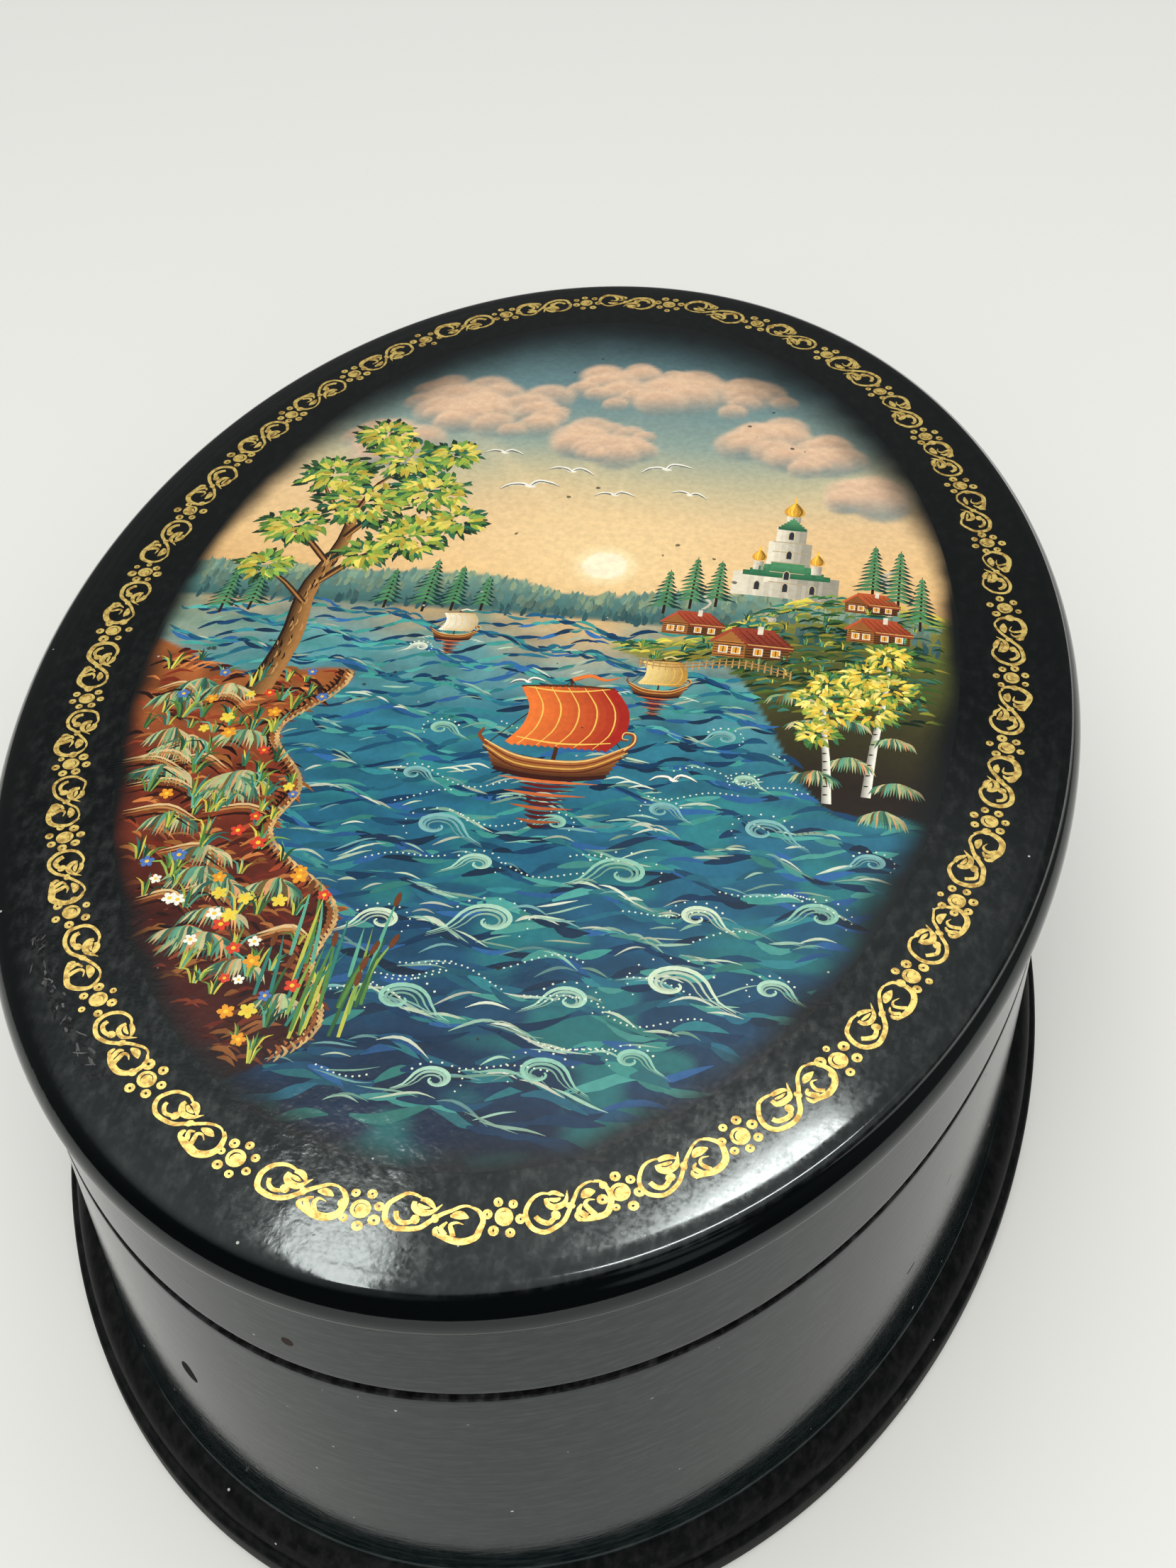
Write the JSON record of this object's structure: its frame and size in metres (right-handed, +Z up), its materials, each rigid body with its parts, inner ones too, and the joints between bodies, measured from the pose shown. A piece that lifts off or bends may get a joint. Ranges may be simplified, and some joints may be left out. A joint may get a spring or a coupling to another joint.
{
  "type": "lacquer box",
  "caption": "Oval papier-mache lacquer box: crowned lift-off lid with a moulded edge, shallow lid wall, straight base wall with an inner sleeve, and a stepped round-edged foot.",
  "frame": {"origin": "middle of the flat underside of the foot", "axes": "+Y along the long axis of the oval, towards the picture's top edge; +X along the short axis; +Z up, the way the lid lifts"},
  "size_m": [0.0936, 0.1336, 0.0447],
  "materials": {
    "painted_lacquer": "gloss",
    "black_lacquer": "gloss",
    "red_lacquer": "gloss"
  },
  "bodies": {
    "base": {"base_wall": "black_lacquer", "inner_sleeve": "red_lacquer", "base_floor": "red_lacquer", "foot_plate": "black_lacquer"},
    "lid": {"lid_plate": "painted_lacquer", "lid_wall": "black_lacquer"}
  },
  "joints": [
    {"name": "lid_lift", "type": "slide", "parent": "base", "child": "lid", "axis": [0, 0, 1], "range_m": [0, 0.06]}
  ]
}
